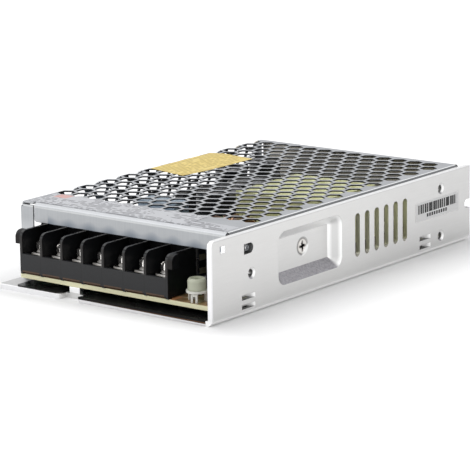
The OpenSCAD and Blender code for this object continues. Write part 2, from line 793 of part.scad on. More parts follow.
module bridge_rectifier() {
    color("#2a2b2d") translate([-40.4, 11, board_top + 3]) {
        cube([3.8, 15, 11.2]);
        for (i = [0 : 3]) translate([1.5, 1.2 + 3.83 * i, -3]) cube([0.8, 1.1, 3 + eps]);
    }
}

// Upright can with a rolled groove below its crimped top and a scored vent
module can_capacitor(x, y, r, h) {
    translate([x, y, board_top]) difference() {
        rotate_extrude() polygon([
            [0, 0], [r - 0.5, 0], [r, 0.5], [r, 1.8], [r - 0.5, 2.4], [r, 3], [r, h - 0.6],
            [r - 0.6, h], [r - 1.2, h], [r - 1.4, h - 0.3], [0, h - 0.3]]);
        translate([0, 0, h - 0.3]) for (a = [0, 60, 120]) rotate(a)
            translate([-r * 0.6, -0.15, -0.15]) cube([r * 1.2, 0.3, 1]);
    }
}

module bulk_capacitors() {
    color("#1f2023") {
        can_capacitor(-13.5, 4.5, 9, 20);
        can_capacitor(-13.5, 23.5, 9, 20);
    }
}

module output_capacitors() {
    color("#232a35") for (x = [6, 17.5, 29]) can_capacitor(x, -50, 5, 18);
}

module small_capacitors() {
    color("#24262b") {
        can_capacitor(-35.6, 39.8, 6.2, 19.5);
        can_capacitor(-35.6, 61.4, 6.2, 19.5);
        can_capacitor(0, 60, 4, 12);
        can_capacitor(39.5, -50, 4, 12.5);
    }
}

// Package with its metal tab against the dimple or the side plate, standing on three leads
module tab_package(x, y, z0) {
    color("#2a2b2d") translate([x - 4.6, y - 5, z0]) cube([3.3, 10, 9.2]);
    color("#c9c6bd") translate([x - 1.3 - eps, y - 5, z0]) difference() {
        cube([1.3 + eps, 10, 15.6]);
        translate([-1, 5, 12.6]) rotate([0, 90, 0]) cylinder(h = 4, r = 1.75);
    }
    color("#c9c6bd") for (dy = [-2.54, 0, 2.54])
        translate([x - 3, y + dy - 0.4, board_top]) cube([0.6, 0.8, z0 - board_top + eps]);
}

pad_t = 0.4;
bar_t = 1.6;
package_t = 4.6;
dimple_back = dimple_floor - plate_t;
package_low = 9.6;
package_step = 8.4;

module output_rectifier() {
    tab_package(dimple_back - pad_t, dimple_screw[0] - package_step, package_low);
}

module power_transistor() {
    tab_package(dimple_back - pad_t, dimple_screw[0] + package_step, package_low);
}

module insulating_pad() {
    color("#9fb0b8") across(dimple_back - pad_t, pad_t) difference() {
        span(dimple_screw[0] - 14.5, dimple_screw[0] + 14.5, 9.2, 22.6);
        translate(dimple_screw) circle(1.8);
    }
}

// Steel bar, drawn up by one screw, that presses both packages to the dimple
module clamp_bar() {
    color("#b9bcbf") difference() {
        across(dimple_back - pad_t - package_t - bar_t, bar_t)
            round_span(dimple_screw[0] - 14, dimple_screw[0] + 14, dimple_screw[1] - 3.2, dimple_screw[1] + 3.2, 1);
        across(dimple_back - 10, 10) translate(dimple_screw) circle(clamp_screw_r + 0.03);
    }
}

module control_chip() {
    color("#2a2b2d") translate([6, 50, board_top]) {
        translate([0, 0, 0.5]) cube([9, 6, 3]);
        for (i = [0 : 3], y = [-0.6, 6]) translate([0.6 + i * 2.3, y, 0]) cube([0.8, 0.6, 2]);
    }
}

module optocouplers() {
    color("#e8e6df") for (y = [48, 58]) translate([24, y, board_top]) {
        translate([0, 0, 0.4]) cube([6, 4.6, 3.2]);
        for (x = [0.7, 4.2], dy = [-0.5, 4.6]) translate([x, dy, 0]) cube([0.8, 0.5, 1.8]);
    }
}

module power_resistors() {
    color("#8fb0b8") for (y = [48, 54, 60]) translate([-24, y, board_top + 1.9]) rotate([0, 90, 0])
        cylinder(h = 11, r = 1.9);
    color("#c9c6bd") for (y = [48, 54, 60], x = [-26, -13]) translate([x, y - 0.35, board_top])
        cube([2 + eps, 0.7, 2.2]);
}

/* Fasteners */

// Countersunk screw: head flush with the origin, shank along -Z
module countersunk(shank, r, head, sink) {
    difference() {
        union() {
            translate([0, 0, -sink]) cylinder(h = sink, r1 = r, r2 = head);
            translate([0, 0, -shank]) cylinder(h = shank - sink + eps, r = r);
        }
        drive(1, 1.35);
    }
}

module clamp_screw() {
    color("#d5d3cc") translate([dimple_floor - 0.02, dimple_screw[0], dimple_screw[1]])
        rotate([0, 90, 0]) rotate(12) countersunk(10, clamp_screw_r, clamp_screw_r + 1.48, 1.48);
}

module cover_screws() {
    color("#d5d3cc") {
        for (f = cover_screw_side)
            translate([cover_left + 0.02, f[0], f[1]]) rotate([0, -90, 0]) rotate(f[0])
                countersunk(5, cover_screw_r, cover_screw_r + 1.48, 1.48);
        translate([cover_screw_rear[0], cover_rear - 0.02, cover_screw_rear[1]]) rotate([-90, 0, 0])
            countersunk(5, cover_screw_r, cover_screw_r + 1.48, 1.48);
    }
}

module board_screws() {
    color("#d5d3cc") for (p = board_posts) translate([p[0], p[1], board_top]) {
        difference() {
            rotate_extrude() polygon([[0, 0], [2.7, 0], [2.7, 1.1], [2.2, 1.7], [1.2, 2], [0, 2]]);
            translate([0, 0, 2]) drive(1.1, 1.3);
        }
        translate([0, 0, -4]) cylinder(h = 4 + eps, r = 1.2);
    }
}

/* Labels */

label_t = 0.08;

module rating_label() {
    color("#cfd0d2") flat(case_h, label_t) round_span(-45.5, 25.5, cover_front + 2.2, hex_y(0) - hex_r - 0.2, 0.8);
}

module yellow_sticker() {
    color("#e8cf5e") flat(case_h, label_t) polygon([
        [-46.2, 3.8], [-27.3, -0.4], [-25.6, 12.4], [-25.2, 39.9], [-41, 42.3], [-46.3, 40.4]]);
}

module barcode_label() {
    color("#f2f2ef") across(x_right, label_t) round_span(42.7, 71.6, 13.4, 20.4, 0.5);
}

chassis();
cover();
insulating_film();
circuit_board();
terminal_block();
terminal_contacts();
for (i = [1 : ways]) {
    clamp_washer(i - 1);
    terminal_screw(i - 1);
}
trimmer_base();
trimmer_knob();
status_led();
transformer_core();
transformer_bobbin();
transformer_winding();
transformer_wrap();
line_choke_core();
line_choke_coils();
output_choke_core();
output_choke_wire();
fuse();
inrush_limiter();
varistor();
x_capacitor();
y_capacitors();
bridge_rectifier();
bulk_capacitors();
output_capacitors();
small_capacitors();
output_rectifier();
power_transistor();
insulating_pad();
clamp_bar();
control_chip();
optocouplers();
power_resistors();
clamp_screw();
cover_screws();
board_screws();
rating_label();
yellow_sticker();
barcode_label();
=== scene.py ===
import math

import bpy
from mathutils import Matrix, Vector


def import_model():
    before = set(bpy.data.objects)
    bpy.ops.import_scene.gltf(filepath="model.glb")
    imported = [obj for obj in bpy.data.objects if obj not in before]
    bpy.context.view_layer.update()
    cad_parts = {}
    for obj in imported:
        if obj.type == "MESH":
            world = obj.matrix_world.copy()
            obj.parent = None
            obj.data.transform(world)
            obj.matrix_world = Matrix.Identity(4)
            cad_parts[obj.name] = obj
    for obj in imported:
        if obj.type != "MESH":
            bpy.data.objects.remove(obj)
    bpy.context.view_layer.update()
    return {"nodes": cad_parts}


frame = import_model()
nodes = frame["nodes"]


# Places that several materials read, in metres

def reach(name):
    """The lowest and the highest corner of a node's own mesh."""
    points = [vertex.co for vertex in nodes[name].data.vertices]
    return [Vector([pick(axis) for axis in zip(*points)]) for pick in (min, max)]


MM = 0.001
case_low, case_high = reach("chassis")
cover_low, cover_high = reach("cover")
block_low, block_high = reach("terminal_block")
# The side plate's outer face, its sheet, and the floor of the dimple pressed into it
PLATE_SHEET = 1.8 * MM
DIMPLE_DEPTH = 4.0 * MM
plate_face = case_high.x
dimple_face = plate_face - DIMPLE_DEPTH
# The cover's sheet and the outside radius of its folds
COVER_SHEET = 0.5 * MM
COVER_BEND = 1.6 * MM
# The terminal block's ways, and the left face of its first barrier
WAYS = 7
FIRST_BARRIER = -41.07 * MM
way_pitch = reach("clamp_washer_2")[0].x - reach("clamp_washer_1")[0].x
# How far a mask stays off the faces beside it
HAIR = 0.1 * MM


# Node helpers

class Value:
    """What a node puts out. Arithmetic and comparisons on it add math nodes to its tree."""

    def __init__(self, socket):
        self.socket = socket
        self.tree = socket.id_data

    def __add__(self, other):
        return maths("ADD", self, other)

    def __radd__(self, other):
        return maths("ADD", other, self)

    def __sub__(self, other):
        return maths("SUBTRACT", self, other)

    def __rsub__(self, other):
        return maths("SUBTRACT", other, self)

    def __mul__(self, other):
        return maths("MULTIPLY", self, other)

    def __gt__(self, limit):
        return maths("GREATER_THAN", self, limit)

    def __lt__(self, limit):
        return maths("LESS_THAN", self, limit)

    def __abs__(self):
        return maths("ABSOLUTE", self)


def join(socket, value):
    """Links a Value to a socket, or sets the socket to a number, a vector or an RGB colour."""
    if isinstance(value, Value):
        value.tree.links.new(value.socket, socket)
    elif socket.type == "RGBA":
        socket.default_value = (*value, 1)
    else:
        socket.default_value = value


def add(tree, kind, inputs, **props):
    """A new node with its properties and inputs set."""
    node = tree.nodes.new(kind)
    for key, value in props.items():
        setattr(node, key, value)
    for key, value in inputs.items():
        join(node.inputs[key], value)
    return node


def output(tree, kind, inputs, which=0, **props):
    """One output of a new node, as a Value."""
    return Value(add(tree, kind, inputs, **props).outputs[which])


def three(whole):
    """The three parts of a vector."""
    node = add(whole.tree, "ShaderNodeSeparateXYZ", {0: whole})
    return [Value(part) for part in node.outputs]


def vector(first, second=0.0):
    """A vector of two values and a zero."""
    return output(first.tree, "ShaderNodeCombineXYZ", {0: first, 1: second})


def maths(operation, first, second=0.0, clamp=False):
    """A math node; one of its two terms, at least, is a Value."""
    tree = first.tree if isinstance(first, Value) else second.tree
    return output(tree, "ShaderNodeMath", {0: first, 1: second}, operation=operation, use_clamp=clamp)


def length(first, second):
    """The straight way over two sides at right angles."""
    return maths("SQRT", first * first + second * second)


def span(value, low, high, out_low=0.0, out_high=1.0):
    """The value's way from low to high, brought to another range and held inside it."""
    limits = {"From Min": low, "From Max": high, "To Min": out_low, "To Max": out_high}
    return output(value.tree, "ShaderNodeMapRange", {"Value": value, **limits})


def between(value, low, high):
    """1 where the value lies between two limits."""
    return (value > low) * (value < high)


def noise(spot, scale, detail, rough=0.55, distortion=0.0):
    """Clouds from 0 to 1; scale is about how many a metre there are."""
    inputs = {"Vector": spot, "Scale": scale, "Detail": detail, "Roughness": rough, "Distortion": distortion}
    return output(spot.tree, "ShaderNodeTexNoise", inputs, "Fac")


def mix(share, first, second):
    """The first colour with a share of the second; each is an RGB colour or a Value."""
    return output(share.tree, "ShaderNodeMix", {0: share, 6: first, 7: second}, 2, data_type="RGBA")


def grey(level):
    return (level, level, level)


def scaled(colour, factor):
    """A colour times a factor, held to 1."""
    return tuple(min(1, part * factor) for part in colour)


class Look:
    """A material with a Principled shader. Its tone is painted in layers and fed to the shader."""

    def __init__(self, name, colour, rough=0.5, metal=0.0, **sockets):
        self.mat = bpy.data.materials.new(name)
        self.mat.use_nodes = True
        self.tree = self.mat.node_tree
        self.shader = self.tree.nodes["Principled BSDF"]
        self.tone = colour
        self.feed("Base Color", colour)
        self.feed("Roughness", rough)
        self.feed("Metallic", metal)
        for key, value in sockets.items():
            self.feed(key.replace("_", " "), value)

    def feed(self, name, value):
        """Sets or links one of the shader's sockets."""
        join(self.shader.inputs[name], value)

    def place(self, stretch=(1, 1, 1)):
        """Object coordinates, in metres, each times its own factor."""
        at = output(self.tree, "ShaderNodeTexCoord", {}, "Object")
        return output(self.tree, "ShaderNodeMapping", {"Vector": at, "Scale": stretch})

    def xyz(self):
        """Object coordinates as three values, in metres."""
        return three(output(self.tree, "ShaderNodeTexCoord", {}, "Object"))

    def facing(self):
        """The surface's own normal as three values."""
        return three(output(self.tree, "ShaderNodeTexCoord", {}, "Normal"))

    def paint(self, mask, colour):
        """Lays a colour over the tone, as far as the mask says."""
        self.tone = mix(mask, self.tone, colour)

    def soft(self, radius):
        """Normals rounded over the edges, in metres."""
        return output(self.tree, "ShaderNodeBevel", {"Radius": radius}, samples=6)

    def bump(self, height, strength, distance, normal=None):
        """Relief on the shader's normals, over a rounded normal where one is given."""
        inputs = {"Height": height, "Strength": strength, "Distance": distance}
        if normal is not None:
            inputs["Normal"] = normal
        self.feed("Normal", output(self.tree, "ShaderNodeBump", inputs))


def dash_rows(across, along, rows, lengths, shift, tall, share):
    """Rows of plain dashes of mixed lengths, as a mask, for print too small to read.

    There are so many rows and lengths a metre; tall is how much of a row its dashes take.
    """
    row = across * rows
    lane = vector(along * lengths, maths("FLOOR", row) * shift)
    return (maths("FRACT", row) < tall) * (noise(lane, 1.0, 1.0) > share)


def label_dashes(look):
    """The rating label's rows of dashes, with gaps between their groups."""
    x, y, _ = look.xyz()
    groups = noise(vector(x * 75.0, y * 160.0), 1.0, 0.0) > 0.42
    return dash_rows(y, x, rows=620.0, lengths=420.0, shift=7.3, tall=0.55, share=0.47) * groups


def way_share(x):
    """0 to 1 across each way of the terminal block, with its barrier at the start."""
    return maths("FRACT", (x - FIRST_BARRIER) * (1 / way_pitch))


def from_screw(look):
    """The way from the clamp screw's axis: along Y, along Z and straight."""
    low, high = reach("clamp_screw")
    axis = (low + high) / 2
    _, y, z = look.xyz()
    off_y, off_z = y - axis.y, z - axis.z
    return off_y, off_z, length(off_y, off_z)


# The chassis

def paint_plate(look):
    """The side plate has painted shade towards its foot and its rear; the base's top faces have painted
    shade and its tab's front face painted light.
    """
    x, y, z = look.xyz()
    _, out_y, up = look.facing()
    # painted shade, heavier towards the plate's foot and its rear
    shade = span(z, 0.0, 18 * MM, 0.18, 0.0) + span(y, -10 * MM, 79 * MM, 0.0, 0.36)
    look.paint((x > dimple_face - 0.7 * MM) * shade, grey(0.42))
    # painted shade on the base's top faces
    base_top = (up > 0.5) * (z < 2.5 * MM)
    look.paint(base_top * 0.9, grey(0.50))
    # painted light on the tab's front face
    tab = between(x, -30 * MM, -10 * MM) * between(z, 2.2 * MM, 6 * MM)
    look.paint(tab * (out_y < -0.5), grey(0.88))


def paint_screw_shade_and_glint(look):
    """A painted shadow ring round the clamp screw, with a painted glint at its lower right."""
    off_y, off_z, away = from_screw(look)
    # painted shadow round the screw head
    look.paint(span(away, 3.0 * MM, 3.6 * MM, 0.7, 0.0), grey(0.14))
    # painted glint at the lower right
    lower_right = span(off_y - off_z, 2.6 * MM, 3.4 * MM)
    look.paint(lower_right * span(away, 3.1 * MM, 3.8 * MM, 1.0, 0.0), (0.97, 0.97, 0.96))


def paint_dimple(look):
    """The dimple's low slope has speckled painted shade; its roof has painted light and its rear end painted
    bright bands.
    """
    x, _, _ = look.xyz()
    _, out_y, up = look.facing()
    walls = between(x, dimple_face - 0.5 * MM, plate_face - HAIR)
    coarse = noise(look.place(), 1300.0, 2.0)
    # painted shade on the dimple's low slope, with speckles in it
    painted_slope_shade = mix(span(coarse, 0.3, 0.7), (0.205, 0.195, 0.215), (0.34, 0.335, 0.365))
    look.paint(walls * span(up, 0.12, 0.5) * 0.85, painted_slope_shade)
    # painted light on the roof, the slope that faces down
    look.paint(walls * span(up, -0.12, -0.5), (0.93, 0.93, 0.925))
    # painted reflection: two bright bands on the dimple's rear end
    from_middle = abs(span(x, dimple_face + HAIR, plate_face - HAIR, -1.0, 1.0))
    jamb = mix(span(from_middle, 0.35, 0.8), (0.66, 0.66, 0.655), (0.95, 0.95, 0.945))
    look.paint(walls * span(out_y, -0.12, -0.5), jamb)


def paint_plate_edges(look):
    """Painted light on the plate's cut edges at the front and the top, a line of painted shade under the top
    edge, and painted light on the fold along its foot.
    """
    x, y, z = look.xyz()
    top = case_high.z
    # painted light on the front edge
    look.paint(y < case_low.y + 0.6 * MM, (0.80, 0.80, 0.81))
    # painted shade, a thin line under the top edge
    look.paint(between(z, top - 0.5 * MM, top - 0.2 * MM) * 0.35, (0.40, 0.40, 0.41))
    # painted highlight on the top edge
    look.paint(z > top - 0.2 * MM, (0.78, 0.78, 0.785))
    # painted light on the fold along the plate's foot, against the mirrored floor shadow
    foot = (x > plate_face - 3 * MM) * span(z, 0.8 * MM, 2.6 * MM, 0.9, 0.0)
    look.paint(foot, (0.96, 0.96, 0.955))


def paint_plate_cuts(look):
    """Painted shade and light on the sheet's thickness inside the slots, the holes and the window, and
    painted shade on the plate's inside.
    """
    x, y, z = look.xyz()
    out_x, _, up = look.facing()
    cuts = between(x, plate_face - PLATE_SHEET - HAIR, plate_face - HAIR) * between(out_x, -0.3, 0.3)
    cuts = cuts * between(z, 0.8 * MM, 29 * MM) * between(y, case_low.y + MM, case_high.y - MM)
    slots = between(y, 0.0, 39 * MM)
    # painted shade in the holes, and a painted reflection of the yellow tape on the slot walls
    painted_cut_light_and_shade = mix(slots, grey(0.28), (0.88, 0.88, 0.70))
    window = between(y, -77 * MM, -70.5 * MM) * (z > 24 * MM)
    # painted light in the window
    painted_cut_light_and_shade = mix(window, painted_cut_light_and_shade, grey(0.98))
    slot_floors = slots * span(up, 0.2, 0.6)
    # painted shade on the slots' floors
    painted_cut_light_and_shade = mix(slot_floors, painted_cut_light_and_shade, (0.22, 0.21, 0.18))
    look.paint(cuts * 0.85, painted_cut_light_and_shade)
    # painted shade on the plate's inside
    inside = (out_x < -0.5) * (y > -66 * MM) * (z < 28.4 * MM)
    look.paint(inside * 0.55, (0.16, 0.16, 0.165))


def aluminium():
    """Mill-finish sheet, speckled, with painted light and shade on its plate, its dimple, its edges and its
    cuts, and painted shade inside.
    """
    look = Look("aluminium_sheet", (0.66, 0.66, 0.655), 0.42, 1.0)
    cloud = noise(look.place(), 38.0, 3.0)
    speck = noise(look.place(), 2600.0, 2.0)
    grain = noise(look.place((260, 22, 260)), 6.0, 3.0)
    look.tone = mix(cloud, (0.64, 0.637, 0.63), (0.695, 0.692, 0.685))
    look.paint(span(speck, 0.3, 0.75, 0.0, 0.12), grey(0.5))
    paint_plate(look)
    paint_screw_shade_and_glint(look)
    paint_dimple(look)
    paint_plate_edges(look)
    paint_plate_cuts(look)
    look.feed("Base Color", look.tone)
    look.feed("Roughness", span(grain, 0.25, 0.75, 0.37, 0.49))
    look.bump(speck + grain, 0.12, 0.03 * MM, look.soft(0.3 * MM))
    return look.mat


# The cover

def paint_lip(look):
    """The front flap has painted shade and is brushed, with soft waves of painted dark reflection over the
    terminals at its lip.
    """
    x, y, z = look.xyz()
    _, out_y, _ = look.facing()
    lip = (y < cover_low.y + 0.9 * MM) * span(z, 15 * MM, 24.5 * MM)
    # painted shade on the flap's front faces
    front = lip * span(out_y, -0.7, -0.95)
    look.paint(front * 0.9, (0.34, 0.35, 0.362))
    brushed = noise(look.place((1500, 1500, 60)), 1.0, 3.0)
    look.paint(front * span(brushed, 0.35, 0.7, 0.0, 0.2), (0.24, 0.26, 0.27))
    # painted reflection of the dark terminal block, in soft waves along the lip's lower edge
    crest = -34.1 * MM
    wave = maths("COSINE", (x - crest) * (math.tau / way_pitch))
    height = 25 * MM + wave * (0.7 * MM)
    painted_block_reflection = lip * span(z - height, -2 * MM, 0.8 * MM, 0.74, 0.0) * (x > -34.5 * MM)
    look.paint(painted_block_reflection, (0.13, 0.16, 0.20))


def paint_cover_folds(look):
    """A line of painted shade and a painted highlight along the front fold, and a painted highlight on the
    right fold.
    """
    x, y, z = look.xyz()
    out_x, _, up = look.facing()
    top = cover_high.z
    fold = (y < cover_low.y + COVER_BEND) * (up > -0.5)
    # painted shade along the top of the front fold
    look.paint(between(z, top - 0.6 * MM, top - 0.15 * MM) * fold * 0.45, (0.22, 0.225, 0.235))
    # painted highlight lower on the front fold
    look.paint(between(z, top - 1.6 * MM, top - 1.1 * MM) * fold * 0.3, (0.80, 0.81, 0.80))
    # painted highlight on the right fold
    right_fold = between(out_x, 0.25, 0.99) * (x > 45.2 * MM)
    look.paint(right_fold * 0.9, (0.93, 0.94, 0.95))


def paint_cover_inside(look):
    """Painted light under the top and on the rear wall's inside, painted shade on the left wall's inside;
    the rear wall is returned, to be made less metallic.
    """
    _, y, _ = look.xyz()
    out_x, out_y, up = look.facing()
    # painted light under the top, to brighten the inside of the case
    look.paint((up < -0.5) * 0.9, (0.82, 0.83, 0.84))
    rear = (out_y < -0.5) * (y > 50 * MM)
    # painted shade on the left wall's inside
    look.paint((out_x > 0.5) * 0.85, (0.07, 0.075, 0.08))
    # painted light on the rear wall's inside
    look.paint(rear * 0.85, (0.62, 0.58, 0.50))
    return rear


def paint_front_strip(look):
    """The rating label's print goes on as dashes on the strip beside it, which is returned."""
    x, y, z = look.xyz()
    strip = between(x, 17.2 * MM, 44 * MM) * between(y, -66.2 * MM, -58 * MM)
    strip = strip * (z > cover_high.z - HAIR)
    look.paint(strip, (0.60, 0.61, 0.64))
    look.paint(strip * label_dashes(look), (0.16, 0.16, 0.18))
    return strip


def hole_walls(look):
    """1 on the sheet's thickness inside the hexagons of the top and of the left wall."""
    x, y, z = look.xyz()
    out_x, _, up = look.facing()
    margin = 0.01 * MM
    mesh = between(y, -65.5 * MM, 73.5 * MM)
    top_sheet = between(z, cover_high.z - COVER_SHEET + margin, cover_high.z - margin)
    left_sheet = between(x, cover_low.x, cover_low.x + COVER_SHEET - margin)
    left = left_sheet * between(out_x, -0.3, 0.3) * between(z, 9 * MM, 28.4 * MM)
    return mesh * maths("MAXIMUM", top_sheet * between(up, -0.3, 0.3), left)


def galvanised():
    """Zinc coated sheet: grey clouds, fine rolling lines, painted light and shade on its lip, folds and
    inside, and painted shade in its holes.
    """
    look = Look("zinc_steel", (0.48, 0.495, 0.52), 0.36, 1.0, Specular_Tint=(0.66, 0.67, 0.69))
    cells = {"Vector": look.place(), "Scale": 260.0, "Randomness": 1.0}
    cell = output(look.tree, "ShaderNodeTexVoronoi", cells, "Color")
    spangle = output(look.tree, "ShaderNodeSeparateColor", {0: cell})
    cloud = noise(look.place(), 55.0, 4.0, 0.6, 0.4)
    fine = noise(look.place((90, 900, 500)), 1.6, 3.0)
    look.tone = mix(span(cloud, 0.3, 0.7), (0.48, 0.49, 0.505), (0.57, 0.58, 0.595))
    look.paint(span(spangle, 0.0, 1.0, 0.0, 0.10), (0.36, 0.37, 0.39))
    paint_lip(look)
    paint_cover_folds(look)
    rear = paint_cover_inside(look)
    strip = paint_front_strip(look)
    # painted shade on the walls of the hexagon holes
    look.paint(hole_walls(look), (0.035, 0.037, 0.042))
    look.feed("Base Color", look.tone)
    look.feed("Metallic", span(maths("MAXIMUM", strip, rear), 0.0, 1.0, 1.0, 0.35))
    look.feed("Roughness", span(cloud + fine, 0.6, 1.4, 0.29, 0.44))
    look.bump(fine, 0.12, 0.03 * MM, look.soft(0.25 * MM))
    return look.mat


# Screws and small metal pieces

def nickel(name, tone, rough, front=0.0):
    """Plated metal; front is how far its faces towards -Y are painted bright as a highlight, brighter
    towards each way's right, and made less metallic.
    """
    look = Look(name, tone, rough, 1.0)
    fine = noise(look.place(), 1500.0, 3.0)
    broad = noise(look.place(), 260.0, 3.0)
    look.paint(span(broad, 0.35, 0.75), scaled(tone, 0.72))
    if front:
        x, _, _ = look.xyz()
        _, out_y, _ = look.facing()
        # painted highlight on the faces towards -Y, growing towards the right of each way
        ahead = span(out_y, -0.3, -0.6) * front * span(way_share(x), 0.25, 0.75, 0.45, 1.0)
        look.paint(ahead, (0.97, 0.96, 0.94))
        look.feed("Metallic", 1.0 - ahead)
    look.feed("Base Color", look.tone)
    look.feed("Roughness", span(fine, 0.3, 0.7, rough * 0.8, rough * 1.5))
    look.bump(fine, 0.12, 0.02 * MM, look.soft(0.35 * MM))
    return look.mat


def flush_head():
    """The clamp screw: a grey head with painted shade in its cross, on its rim and below the dimple's face,
    and a painted glint at its lower right.
    """
    look = Look("flush_head", (0.45, 0.44, 0.42), 0.3, 1.0)
    x, _, _ = look.xyz()
    off_y, off_z, away = from_screw(look)
    wide, high = abs(off_y), abs(off_z)
    arm, arm_half = 2.0 * MM, 0.45 * MM
    fine = noise(look.place(), 900.0, 3.0)
    look.tone = mix(fine, (0.58, 0.56, 0.53), (0.80, 0.78, 0.75))
    # painted shade in and along the cross recess
    upright = (wide < arm_half) * (high < arm)
    level = (high < arm_half) * (wide < arm)
    look.paint(maths("MAXIMUM", upright, level) * 0.75, (0.07, 0.06, 0.055))
    # painted shade round the head's rim
    look.paint(span(away, 2.2 * MM, 2.9 * MM, 0.0, 0.8), (0.12, 0.115, 0.11))
    # painted glint at the lower right
    look.paint(span(off_y - off_z, 2.2 * MM, 3.2 * MM, 0.0, 0.85), (0.97, 0.97, 0.96))
    # painted shade on the screw below the dimple's face
    below_face = x < dimple_face - 0.2 * MM
    look.paint(below_face, grey(0.05))
    look.feed("Base Color", look.tone)
    look.bump(fine, 0.2, 0.03 * MM, look.soft(0.3 * MM))
    return look.mat


def plain_steel():
    """Bare steel with fine streaks along its length."""
    look = Look("plain_steel", (0.55, 0.56, 0.57), 0.35, 1.0)
    streak = noise(look.place((60, 900, 60)), 4.0, 3.0)
    look.feed("Base Color", mix(streak, (0.46, 0.47, 0.48), (0.60, 0.61, 0.62)))
    look.bump(streak, 0.2, 0.03 * MM)
    return look.mat


# Plastics and coatings

def moulded(name, colour, rough=0.45, grain=1800.0, strength=0.2, coat=0.0):
    """Moulded plastic: a fine grain, slow changes of tone, and roughness that follows them."""
    look = Look(name, colour, rough, 0.0, Coat_Weight=coat, Coat_Roughness=0.15)
    fine = noise(look.place(), grain, 3.0)
    slow = noise(look.place(), 70.0, 3.0)
    look.feed("Base Color", mix(slow, scaled(colour, 0.82), scaled(colour, 1.18)))
    look.feed("Roughness", span(fine, 0.3, 0.7, rough * 0.85, rough * 1.15))
    look.bump(fine, strength, 0.04 * MM, look.soft(0.25 * MM))
    return look.mat


def block_plastic():
    """Charcoal moulding: painted shade on its ears and in its bays, fine lines between the ways, brown at
    its foot.
    """
    look = Look("block_plastic", (0.013, 0.0135, 0.015), 0.44)
    x, y, z = look.xyz()
    out_x, out_y, _ = look.facing()
    way = way_share(x)
    fine = noise(look.place(), 1500.0, 3.0)
    slow = noise(look.place(), 60.0, 3.0)
    look.tone = mix(slow, (0.0075, 0.008, 0.0095), (0.013, 0.0135, 0.015))
    front = y < block_low.y + 0.15 * MM
    # painted shade on the ears
    ears = maths("MAXIMUM", x < -41.1 * MM, x > 26.6 * MM) * 0.75
    look.paint(ears, (0.0025, 0.0025, 0.003))
    lines = (way < 0.03) * (z < 13.1 * MM) * front
    look.paint(lines * 0.7, grey(0.002))
    barriers = front * (z > 13.3 * MM)
    look.paint(barriers * 0.6, (0.016, 0.0125, 0.0105))
    foot = (z < 7.05 * MM) * between(way, 0.10, 0.93) * front * (x < 26.2 * MM)
    look.paint(foot, (0.082, 0.044, 0.022))
    # painted shade in the bays
    sideways = abs(out_x) > 0.9
    behind_bays = (out_y < -0.7) * (y > -75.5 * MM)
    bays = maths("MAXIMUM", sideways, behind_bays) * between(x, -40.9 * MM, 26.5 * MM)
    look.paint(bays * 0.45, (0.0015, 0.0015, 0.0017))
    look.feed("Base Color", look.tone)
    # weaker reflections in the painted shade of the bays and on the ears
    look.feed("Specular IOR Level", span(maths("MAXIMUM", bays, ears), 0.0, 1.0, 0.36, 0.12))
    look.feed("Roughness", span(fine, 0.3, 0.7, 0.36, 0.5))
    look.bump(fine, 0.2, 0.03 * MM, look.soft(0.2 * MM))
    return look.mat


def black_film():
    """Black film, with a painted brown highlight on its front where it folds down."""
    look = Look("black_film", (0.02, 0.02, 0.022), 0.25, Specular_IOR_Level=0.12)
    _, y, z = look.xyz()
    slow = noise(look.place(), 45.0, 3.0)
    look.tone = mix(slow, (0.004, 0.004, 0.0045), (0.009, 0.008, 0.008))
    # painted highlight on the front, where the film folds down
    look.paint((y < case_low.y + MM) * (z < 1.35 * MM), (0.10, 0.05, 0.025))
    look.feed("Base Color", look.tone)
    look.feed("Roughness", span(slow, 0.3, 0.7, 0.2, 0.34))
    look.bump(slow, 0.4, 0.2 * MM)
    return look.mat


def board():
    """Tan laminate on top with printed outlines, painted shade inside the case and painted light under the
    block's front, pale cut edge brightened as painted light, green underside with tracks.
    """
    look = Look("board", (0.5, 0.38, 0.2), 0.4, Coat_Weight=0.25, Coat_Roughness=0.2)
    x, y, _ = look.xyz()
    up = look.facing()[2]
    weave = noise(look.place((1, 0.12, 1)), 900.0, 2.0)
    bricks = {"Vector": look.place((1, 1, 0)), "Scale": 60.0, "Mortar Size": 0.012,
              "Brick Width": 0.9, "Row Height": 0.6,
              "Color1": grey(0), "Color2": grey(0), "Mortar": grey(1)}
    outlines = output(look.tree, "ShaderNodeTexBrick", bricks, "Color")
    blot = noise(look.place(), 320.0, 3.0)
    look.tone = mix(weave, (0.30, 0.18, 0.08), (0.42, 0.27, 0.13))
    look.paint(outlines, (0.60, 0.56, 0.44))
    look.paint(span(blot, 0.45, 0.6, 0.0, 0.55), (0.10, 0.06, 0.03))
    # painted shade on the board inside the case
    look.paint(span(y, -66 * MM, -60 * MM, 0.0, 0.75), (0.03, 0.045, 0.03))
    # painted light on the board's top under the front of the terminal block
    by_block = (x < block_high.x) * (y < -70 * MM)
    look.paint(by_block * 0.85, (0.62, 0.26, 0.11))
    # the cut edge is pale, and brighter still as painted light
    edge = mix(weave, (0.86, 0.83, 0.52), (0.96, 0.93, 0.64))
    side = mix(up > 0.5, edge, look.tone)
    cells = {"Vector": look.place(), "Scale": 120.0}
    tracks = output(look.tree, "ShaderNodeTexVoronoi", cells, "Distance", distance="MANHATTAN")
    underside = mix(span(tracks, 0.25, 0.3), (0.03, 0.16, 0.09), (0.07, 0.26, 0.15))
    look.feed("Base Color", mix(up < -0.5, side, underside))
    look.feed("Roughness", span(weave, 0.3, 0.7, 0.34, 0.5))
    look.bump(weave, 0.15, 0.04 * MM)
    return look.mat


